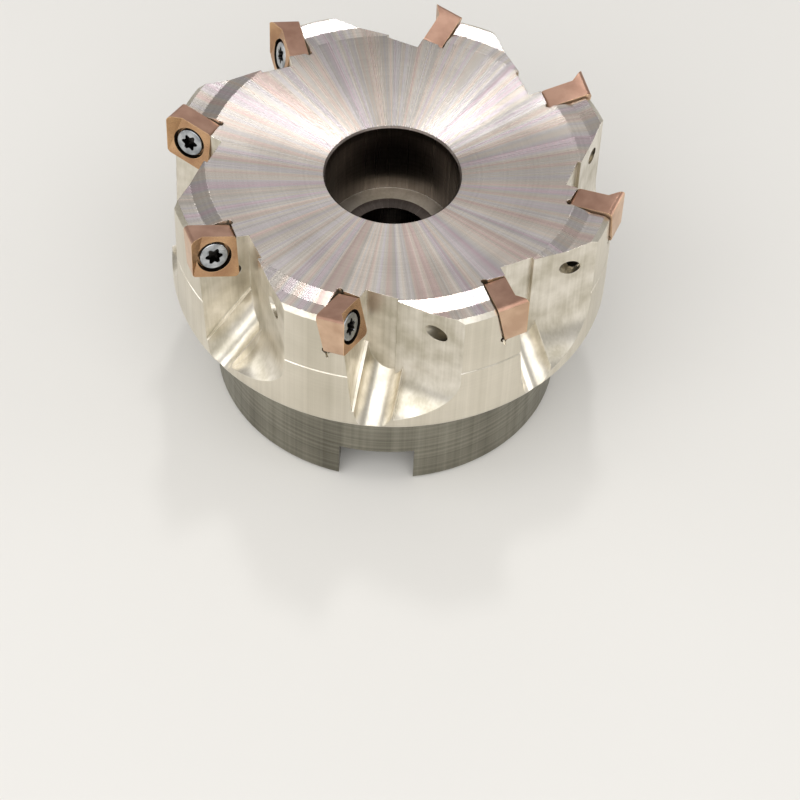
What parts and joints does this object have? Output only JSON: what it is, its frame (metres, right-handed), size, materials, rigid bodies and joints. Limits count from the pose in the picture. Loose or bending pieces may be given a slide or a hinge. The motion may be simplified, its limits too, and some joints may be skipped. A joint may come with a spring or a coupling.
{
  "type": "face mill",
  "caption": "Right-hand shoulder face mill: a steel body with chip gullets, screw-clamped cutting inserts, an arbor bore and a drive slot.",
  "frame": {"origin": "centre of the hub's back face, on the spindle axis", "axes": "+Z along the spindle axis, towards the cutting face; the drive slot runs along Y"},
  "size_m": [0.0624, 0.0624, 0.0398],
  "materials": {
    "body": "satin nickel plate over turned and milled steel",
    "insert": "bronze vapour coating on cemented carbide",
    "screw": "darkened tool steel"
  },
  "bodies": {
    "body": {"cutter_body": "body"},
    "insert 1": {"insert_1": "insert"},
    "screw 1": {"insert_screw_1": "screw"},
    "insert 2": {"insert_2": "insert"},
    "screw 2": {"insert_screw_2": "screw"},
    "insert 3": {"insert_3": "insert"},
    "screw 3": {"insert_screw_3": "screw"},
    "insert 4": {"insert_4": "insert"},
    "screw 4": {"insert_screw_4": "screw"},
    "insert 5": {"insert_5": "insert"},
    "screw 5": {"insert_screw_5": "screw"},
    "insert 6": {"insert_6": "insert"},
    "screw 6": {"insert_screw_6": "screw"},
    "insert 7": {"insert_7": "insert"},
    "screw 7": {"insert_screw_7": "screw"},
    "insert 8": {"insert_8": "insert"},
    "screw 8": {"insert_screw_8": "screw"}
  },
  "joints": [
    {"name": "insert_1_lift", "type": "slide", "parent": "body", "child": "insert 1", "axis": [0.39, 0.897, 0.2079], "range_m": [0, 0.0054]},
    {"name": "insert_screw_1_turn", "type": "hinge", "parent": "insert 1", "child": "screw 1", "pos_m": [0.02809, -0.00365, 0.03586], "axis": [0.39, 0.897, 0.2079], "range_deg": [0, 4320]},
    {"name": "insert_2_lift", "type": "slide", "parent": "body", "child": "insert 2", "axis": [-0.3585, 0.9101, 0.2079], "range_m": [0, 0.0054]},
    {"name": "insert_screw_2_turn", "type": "hinge", "parent": "insert 2", "child": "screw 2", "pos_m": [0.02244, 0.01728, 0.03586], "axis": [-0.3585, 0.9101, 0.2079], "range_deg": [0, 4320]},
    {"name": "insert_3_lift", "type": "slide", "parent": "body", "child": "insert 3", "axis": [-0.897, 0.39, 0.2079], "range_m": [0, 0.0054]},
    {"name": "insert_screw_3_turn", "type": "hinge", "parent": "insert 3", "child": "screw 3", "pos_m": [0.00365, 0.02809, 0.03586], "axis": [-0.897, 0.39, 0.2079], "range_deg": [0, 4320]},
    {"name": "insert_4_lift", "type": "slide", "parent": "body", "child": "insert 4", "axis": [-0.9101, -0.3585, 0.2079], "range_m": [0, 0.0054]},
    {"name": "insert_screw_4_turn", "type": "hinge", "parent": "insert 4", "child": "screw 4", "pos_m": [-0.01728, 0.02244, 0.03586], "axis": [-0.9101, -0.3585, 0.2079], "range_deg": [0, 4320]},
    {"name": "insert_5_lift", "type": "slide", "parent": "body", "child": "insert 5", "axis": [-0.39, -0.897, 0.2079], "range_m": [0, 0.0054]},
    {"name": "insert_screw_5_turn", "type": "hinge", "parent": "insert 5", "child": "screw 5", "pos_m": [-0.02809, 0.00365, 0.03586], "axis": [-0.39, -0.897, 0.2079], "range_deg": [0, 4320]},
    {"name": "insert_6_lift", "type": "slide", "parent": "body", "child": "insert 6", "axis": [0.3585, -0.9101, 0.2079], "range_m": [0, 0.0054]},
    {"name": "insert_screw_6_turn", "type": "hinge", "parent": "insert 6", "child": "screw 6", "pos_m": [-0.02244, -0.01728, 0.03586], "axis": [0.3585, -0.9101, 0.2079], "range_deg": [0, 4320]},
    {"name": "insert_7_lift", "type": "slide", "parent": "body", "child": "insert 7", "axis": [0.897, -0.39, 0.2079], "range_m": [0, 0.0054]},
    {"name": "insert_screw_7_turn", "type": "hinge", "parent": "insert 7", "child": "screw 7", "pos_m": [-0.00365, -0.02809, 0.03586], "axis": [0.897, -0.39, 0.2079], "range_deg": [0, 4320]},
    {"name": "insert_8_lift", "type": "slide", "parent": "body", "child": "insert 8", "axis": [0.9101, 0.3585, 0.2079], "range_m": [0, 0.0054]},
    {"name": "insert_screw_8_turn", "type": "hinge", "parent": "insert 8", "child": "screw 8", "pos_m": [0.01728, -0.02244, 0.03586], "axis": [0.9101, 0.3585, 0.2079], "range_deg": [0, 4320]}
  ],
  "couplings": [
    {"joint": "insert_screw_1_turn", "follows": "insert_1_lift", "rad_per_m": 13963},
    {"joint": "insert_screw_2_turn", "follows": "insert_2_lift", "rad_per_m": 13963},
    {"joint": "insert_screw_3_turn", "follows": "insert_3_lift", "rad_per_m": 13963},
    {"joint": "insert_screw_4_turn", "follows": "insert_4_lift", "rad_per_m": 13963},
    {"joint": "insert_screw_5_turn", "follows": "insert_5_lift", "rad_per_m": 13963},
    {"joint": "insert_screw_6_turn", "follows": "insert_6_lift", "rad_per_m": 13963},
    {"joint": "insert_screw_7_turn", "follows": "insert_7_lift", "rad_per_m": 13963},
    {"joint": "insert_screw_8_turn", "follows": "insert_8_lift", "rad_per_m": 13963}
  ]
}
